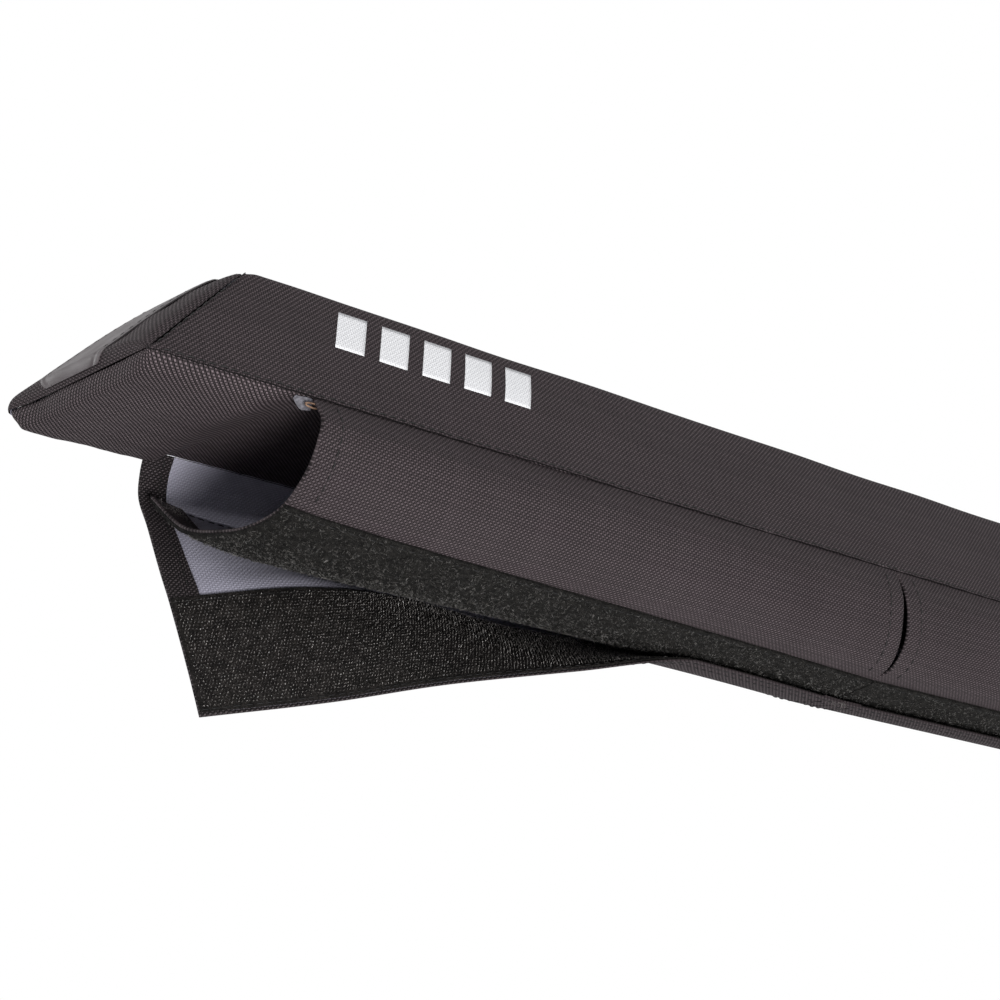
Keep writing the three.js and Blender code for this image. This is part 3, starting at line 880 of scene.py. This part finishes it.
def hemmed_sheet(name, grid, middle, materials):
    """A sheet whose ends fold back onto its inner face. middle is the offset of its mid layer.
    A fourth material shows on the hems and inside the last column."""
    half = FABRIC / 2
    hem_rows = int(np.searchsorted(SHARES, HEM_SHARE + 1e-9))
    last = len(SHARES) - 1
    outer, inner, flat = [], [], []

    def add(row, centre, turn, outward, shift, place):
        normal = grid.normals[row]
        tangent = grid.along[row] * outward
        face = normal * cos(turn) + tangent * sin(turn)
        at = grid.points[row] - tangent * shift + normal * (middle + centre)
        outer.append(at + face * half)
        inner.append(at - face * half)
        flat.append(place)

    def fold(rows, outward):
        for row in rows[::-1]:
            add(row, -FABRIC, pi, outward, half if row == rows[0] else 0,
                grid.flat[row] + (0.002 * outward, 0))
        for turn in np.linspace(pi, 0, 7)[1:-1]:
            add(rows[0], -half * (1 - cos(turn)), turn, outward,
                half * (1 - sin(turn)), grid.flat[rows[0]])

    fold(range(hem_rows + 1), -1)
    first = len(outer)
    for row in range(last + 1):
        add(row, 0, 0, -1 if row == 0 else 1, half if row in (0, last) else 0, grid.flat[row])
    end = len(outer)
    fold(range(last, last - hem_rows - 1, -1), 1)
    for store in (outer, inner, flat):
        store[end:] = store[end:][::-1]
    sheet = solid_sheet(name, np.array(outer), np.array(inner), np.array(flat), materials)
    if len(materials) == 4:
        rows, columns = len(outer) - 1, len(outer[0]) - 1
        kinds = np.empty(len(sheet.data.polygons), np.int32)
        sheet.data.polygons.foreach_get("material_index", kinds)
        shown, inside = kinds[:2 * rows * columns].reshape(2, rows, columns)
        shown[:first - 1] = shown[end - 1:] = inside[:, -1] = 3
        sheet.data.polygons.foreach_set("material_index", kinds)
    return sheet


def half_sleeve(name, side, peeled):
    """One half's front panel, flap and tapes. Returns the panel's and the flap's grids."""
    front = front_surface(side, peeled)
    flap = flap_surface(side, peeled)
    cloth = hemmed_sheet(f"sleeve_front_{name}_cloth", front, -FABRIC / 2, [WOVEN, LINING, WOVEN])
    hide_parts(f"sleeve_front_{name}")
    flap_cloth = hemmed_sheet(f"flap_{name}_cloth", flap, FABRIC / 2,
                              [WOVEN, LINING, WOVEN, HEM_WOVEN])
    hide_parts(f"flap_{name}")
    loop = front.columns(FRONT_COLUMNS)
    matted = SEWN_GAP + LOOP_BASE + 0.0004 * waves(*np.moveaxis(loop.flat, -1, 0) / 0.005, 21)
    loop_piece = solid_sheet(f"loop_tape_{name}_ground", loop.offset(matted),
                             loop.offset(SEWN_GAP * 0.2), loop.flat, [LOOP_TAPE] * 3)
    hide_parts(f"loop_tape_{name}")
    hook = flap.columns(FLAP_COLUMNS, -1)
    hook_piece = solid_sheet(f"hook_tape_{name}_ground", hook.offset(-SEWN_GAP * 0.2),
                             hook.offset(-SEWN_GAP - HOOK_BASE), hook.flat, [HOOK_TAPE] * 3)
    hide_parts(f"hook_tape_{name}")
    loop_pile(name, loop, peeled)
    hook_stalks(name, hook, peeled)
    return front, flap


def place_on(grid, row, column):
    """Points, normals and tangents between a surface's grid points."""
    i = np.clip(row.astype(int), 0, grid.points.shape[0] - 2)
    j = np.clip(column.astype(int), 0, grid.points.shape[1] - 2)
    a, b = (row - i)[:, None], (column - j)[:, None]

    def read(at):
        return mix(mix(at[i, j], at[i + 1, j], a), mix(at[i, j + 1], at[i + 1, j + 1], a), b)

    return read(grid.points), unit(read(grid.normals)), unit(read(grid.along))


def tubes(name, lines, radius, material, sides=3):
    """Many thin threads as one piece: lines is count x points x 3."""
    count, points = lines.shape[:2]
    ahead = unit(np.gradient(lines, axis=1))
    helper = unit(rng.normal(size=(count, 1, 3)))
    across = unit(np.cross(ahead, helper))
    up = np.cross(ahead, across)
    angles = 2 * pi * np.arange(sides) / sides
    taper = np.ones(points)
    taper[[0, -1]] = 0.55
    ring = (across[:, :, None] * np.cos(angles)[:, None]
            + up[:, :, None] * np.sin(angles)[:, None])
    radius = np.broadcast_to(np.asarray(radius, float).reshape(-1, 1, 1, 1), (count, 1, 1, 1))
    verts = lines[:, :, None] + ring * radius * taper[:, None, None]
    index = np.arange(count * points * sides).reshape(count, points, sides)
    after = np.roll(index, -1, axis=2)
    faces = np.stack([index[:, :-1], after[:, :-1], after[:, 1:], index[:, 1:]], -1)
    faces = [*faces.reshape(-1, 4).tolist(), *index[:, 0, ::-1].tolist(), *index[:, -1].tolist()]
    return mesh_object(name, verts, faces, [material], crease=80)


def loop_pile(name, loop, peeled):
    """The loop tape's brushed fibres: small curls that lie over each other."""
    rows, columns = loop.points.shape[:2]
    count = LOOP_CURLS if peeled else SHUT_CURLS
    row = rng.uniform(0.2, rows - 1.2, count)
    widest = columns - 1 if peeled else columns * 0.5
    column = rng.uniform(0.3, widest - 0.3, count)
    point, normal, along = place_on(loop, row, column)
    side = np.cross(normal, along)
    heading = rng.uniform(0, 2 * pi, count)[:, None]
    lean = along * np.cos(heading) + side * np.sin(heading)
    turn = along * -np.sin(heading) + side * np.cos(heading)
    size = rng.uniform(0.0003, 0.0009, count)[:, None]
    rise = rng.uniform(0.0002, 0.0009, count)[:, None]
    lines = np.stack([
        point + normal * (SEWN_GAP + LOOP_BASE + rise * sin(pi * k))
        + lean * size * 1.6 * (k - 0.5) + turn * size * 0.8 * sin(pi * k * 1.3)
        for k in (0, 0.5, 1)], 1)
    return tubes(f"loop_pile_{name}", lines, rng.uniform(0.00005, 0.00011, count), LOOP_FIBRE)


def hook_stalks(name, hook, peeled):
    """Rows of short bent monofilament hooks, clear of the tape's two selvedges."""
    stop = SLEEVE_END - HOOK_MARGIN if peeled else SHUT_HOOKS
    along = np.arange(HOOK_MARGIN, stop, HOOK_PITCH)
    down = np.arange(HOOK_SELVEDGE, HOOK_WIDTH - HOOK_SELVEDGE, HOOK_PITCH)
    a, d = (v.ravel() for v in np.meshgrid(along, down, indexing="ij"))
    count = len(a)
    odd = np.round((d - down[0]) / HOOK_PITCH) % 2
    a = a + HOOK_PITCH / 2 * odd + rng.normal(0, 0.00012, count)
    d = d + rng.normal(0, 0.0001, count)
    point, normal, ahead = place_on(hook, station_at(a),
                                    d / HOOK_WIDTH * (hook.points.shape[1] - 1))
    side = np.cross(normal, ahead)
    heading = np.where(rng.uniform(size=count) < 0.5, 0, pi) + rng.normal(0, 0.5, count)
    lean = side * np.cos(heading)[:, None] + ahead * np.sin(heading)[:, None]
    floor = SEWN_GAP + HOOK_BASE
    tall = HOOK_THICK - HOOK_BASE
    size = rng.uniform(0.8, 1.1, (count, 1))
    lines = np.stack([point - normal * (floor + tall * up * size) + lean * 0.0008 * out * size
                      for out, up in ((0, 0), (0.02, 0.7), (0.3, 1.0), (0.66, 0.7))], 1)
    # The stalks' colour holds painted highlight for the nylon's glints.
    return tubes(f"hook_stalks_{name}", lines, 0.00011, HOOK_STALK_GLINT)


# Stitches

def along_line(points, normals):
    """Stitches along a line: each a short arc that rises from the cloth and dives back."""
    reach = lengths(points)
    begins = np.arange(0.0006, reach[-1] - STITCH_LENGTH, STITCH_PITCH)
    begins = begins + rng.normal(0, 0.0002, len(begins))
    t = np.linspace(0, 1, 5)
    at = begins[:, None] + STITCH_LENGTH * t
    place, normal = (pack(*(np.interp(at, reach, each) for each in line.T))
                     for line in (points, normals))
    rise = THREAD_RADIUS * (1.5 * np.sin(pi * t) - 0.7)
    return place + unit(normal) * rise[:, None]


def sewn(name, lines):
    """The stitches along some lines of points and normals, as one piece."""
    stitched = np.vstack([along_line(points, normals) for points, normals in lines])
    return tubes(name, stitched, THREAD_RADIUS, THREAD, sides=5)


def line_on(grid, offset, row=None, column=None, first=0, last=None):
    """A line up a surface's rows at a column, or across its columns at a row."""
    steps = np.arange(grid.points.shape[0 if row is None else 1])[first:last].astype(float)
    level = np.full(len(steps), float(column if row is None else row))
    places = (steps, level) if row is None else (level, steps)
    point, normal, _ = place_on(grid, *places)
    return point + normal * offset, normal * (1 if offset >= 0 else -1)


def sleeve_stitches(name, front, flap):
    lines = []
    for inset in (TAPE_STITCH, LOOP_WIDTH - TAPE_STITCH):
        column = FRONT_COLUMNS + inset * (LOOP_COLUMNS / LOOP_WIDTH)
        for offset in (SEWN_GAP + LOOP_BASE, -FABRIC):
            lines.append(line_on(front, offset, column=column))
    middle, outermost = (HOOK_WIDTH - inset for inset in HOOK_STITCHES)
    for inset in (TAPE_STITCH, middle, outermost):
        column = FLAP_COLUMNS + inset * (HOOK_COLUMNS / HOOK_WIDTH)
        lines.append(line_on(flap, FABRIC, column=column))
        if inset != middle:
            lines.append(line_on(flap, -SEWN_GAP - HOOK_BASE, column=column))
    hem = station_at(HEM_WIDTH * 0.85)
    for row in (hem, len(SHARES) - 1 - hem):
        for grid, offset, last in ((front, 0.00002, FRONT_COLUMNS), (front, -2 * FABRIC, None),
                                   (flap, FABRIC, None), (flap, -FABRIC, FLAP_COLUMNS)):
            lines.append(line_on(grid, offset, row=row, first=1, last=last))
    sewn(f"stitches_{name}", lines)


def pad_stitches(wrap, wrap_outer, patch_lines):
    """The thread in the pad's own seams."""
    inner = slice(SEAM_TRIM, -SEAM_TRIM)
    lines = []
    for row, near in ((0, 1), (-1, -2)):
        edge = mix(wrap_outer[row], wrap_outer[near], 0.3) + wrap.normals[row] * 0.0002
        lines.append((edge[inner], wrap.normals[row, inner]))
    for column in (2, -3):
        edge = wrap_outer[:, column] + wrap.normals[:, column] * 0.0001
        lines.append((edge[inner], wrap.normals[inner, column]))
    sewn("stitches_pad", lines + patch_lines)


def seam_scrap():
    """A corner of fabric and a small loop of tan tape, out of the front seam at the mouth."""
    across, down = np.meshgrid(np.linspace(0, 1, 9), np.linspace(0, 1, 7), indexing="ij")
    deep = np.interp(across, (0, 0.45, 1), (0.0008, SCRAP_DEEP, SCRAP_DEEP * 0.8))
    x = mix(-SLEEVE_END - SCRAP_REACH, -SLEEVE_END, across)
    y = -HALF_BASE + 0.001 + 0.0016 * down + 0.0004 * np.sin(7 * across)
    scrap = Surface(pack(x, y, -0.0006 - deep * down), pack(x, -deep * down))
    # The scrap's faces take the lining colour darkened by painted shade.
    piece = solid_sheet("seam_scrap", scrap.offset(FABRIC / 4), scrap.offset(-FABRIC / 4),
                        scrap.flat, [SHADED_SCRAP, SHADED_SCRAP, WOVEN])
    turn = np.linspace(0.3, 2 * pi - 0.3, 14)
    loop = pack(-SLEEVE_END - 0.001 + 0.0034 * np.cos(turn), -HALF_BASE - 0.0006,
                -0.0036 + 0.0008 * np.sin(turn))
    tubes("seam_loop", loop[None], 0.00035, TAN_TAPE, sides=6)


def frayed(name, grid, row, column, offset, count):
    """Loose fibres at a cut corner."""
    rows = np.clip(row + rng.normal(0, 2.5, count), 0, grid.points.shape[0] - 1)
    columns = np.clip(column + rng.normal(0, 1.5, count), 0, grid.points.shape[1] - 1)
    point, normal, _ = place_on(grid, rows, columns)
    heading = unit(rng.normal(size=(count, 3)) + normal * np.sign(offset))
    curl = unit(rng.normal(size=(count, 3)))
    size = rng.uniform(0.001, 0.0038, (count, 1))
    start = point + normal * offset
    lines = np.stack([start + heading * size * t + curl * size * 0.4 * sin(pi * t)
                      for t in np.linspace(0, 1, 4)], 1)
    tubes(name, lines, 0.00005, FRAY)


# Print

def front_mark(wrap, wrap_outer):
    """Plain slanted bars printed on the front face near the left end."""
    up = wrap.flat[0, :, 1]
    steps_s, steps_x = 10, 8
    index = np.arange((steps_s + 1) * (steps_x + 1)).reshape(steps_s + 1, steps_x + 1)
    verts, flats, faces = [], [], []
    for k in range(BARS):
        left = BARS_START + k * (BAR_WIDTH + BAR_GAP)
        faces.append(quads(index + len(verts)))
        for i, j in np.ndindex(index.shape):
            s = mix(BARS_LOW, BARS_HIGH, i / steps_s)
            x = left + BAR_SLANT * i / steps_s + BAR_WIDTH * j / steps_x
            column = np.interp(s, up, np.arange(len(up)))
            j0 = int(column)
            line = mix(wrap_outer[:, j0], wrap_outer[:, j0 + 1], column - j0)
            row = np.interp(x, line[:, 0], np.arange(len(line)))
            i0 = int(row)
            verts.append(mix(line[i0], line[i0 + 1], row - i0) + wrap.normals[i0, j0] * 0.00006)
            flats.append((x, s))
    piece = mesh_object("front_mark", np.array(verts), np.vstack(faces), [PRINT],
                        flat=np.array(flats))
    solid = piece.modifiers.new("film", "SOLIDIFY")
    solid.thickness = 0.00012
    solid.offset = 1


# Studio

def camera():
    """The photograph's camera: its place, and the directions right and down in the picture."""
    data = bpy.data.cameras.new("camera")
    data.sensor_width = 36
    data.lens = 76.3
    data.clip_start, data.clip_end = 0.05, 60
    right = Vector((0.76294, -0.64547, 0.03581))
    down = Vector((0.21369, 0.19952, -0.95631))
    forward = Vector((0.61013, 0.73726, 0.29015))
    turn = Matrix((right, -down, -forward)).transposed()
    shot = placed("camera", data)
    shot.matrix_world = Matrix.Translation((-0.70737, -0.62724, -0.24657)) @ turn.to_4x4()
    bpy.context.scene.camera = shot


def area_light(name, place, size, power):
    data = bpy.data.lights.new(name, "AREA")
    data.shape = "DISK"
    data.size = size
    data.energy = power
    lamp = placed(name, data)
    lamp.location = place
    lamp.rotation_mode = "QUATERNION"
    aim = Vector(LIT_SPOT) - Vector(place)
    lamp.rotation_quaternion = aim.to_track_quat("-Z", "Y")


def white_world():
    """Soft light, and plain white to camera, glossy and transmission rays."""
    world = bpy.context.scene.world = bpy.data.worlds.new("studio")
    n = Nodes("studio", world)
    n.tree.nodes.clear()
    path = n.new("ShaderNodeLightPath")
    seen = path.outputs["Is Camera Ray"]
    for kind in ("Is Glossy Ray", "Is Transmission Ray"):
        seen = n.math("MAXIMUM", seen, path.outputs[kind])
    white = n.new("ShaderNodeBackground", Color=(1, 1, 1))
    soft = n.new("ShaderNodeBackground", Color=(0.93, 0.95, 1.0), Strength=0.34)
    both = n.feed(n.new("ShaderNodeMixShader"), seen, soft.outputs[0], white.outputs[0])
    n.put(n.new("ShaderNodeOutputWorld").inputs[0], both)


def floor():
    mesh = bpy.data.meshes.new("floor")
    mesh.from_pydata([(x * FLOOR_HALF, y * FLOOR_HALF, FLOOR_LEVEL)
                      for x, y in ((-1, -1), (1, -1), (1, 1), (-1, 1))], [], [(0, 1, 2, 3)])
    mesh.materials.append(Nodes("floor").finish((0.82, 0.82, 0.82), 0.9))
    placed("floor", mesh)


camera()
foam_block()
wrap, wrap_outer = cover_wrap()
cover_base()
patch_lines = []
for end_name, end_side in (("left", -1), ("right", 1)):
    end_cap(end_name, end_side)
    patch_lines += end_patch(end_name, end_side)
left_front, left_flap = half_sleeve("left", -1, True)
sleeve_stitches("left", left_front, left_flap)
sleeve_stitches("right", *half_sleeve("right", 1, False))
pad_stitches(wrap, wrap_outer, patch_lines)
front_mark(wrap, wrap_outer)
seam_scrap()
frayed("frayed_mouth", left_front, 4, FRONT_COLUMNS + LOOP_COLUMNS - 4, -2 * FABRIC, 60)
frayed("frayed_slit", left_flap, len(SHARES) - 1, FLAP_COLUMNS + HOOK_COLUMNS, FABRIC, 30)

bpy.context.scene.view_settings.view_transform = "Standard"
white_world()
floor()
area_light("key", (-0.62, -1.38, -0.92), 0.7, 32)
area_light("left", (-1.9, -0.3, 0.7), 1.0, 14)
area_light("fill", (0.9, -1.5, 0.3), 1.4, 4)
area_light("back", (-0.9, 1.5, 0.3), 1.0, 8)
area_light("under", (0.6, -0.25, -1.4), 0.8, 9)
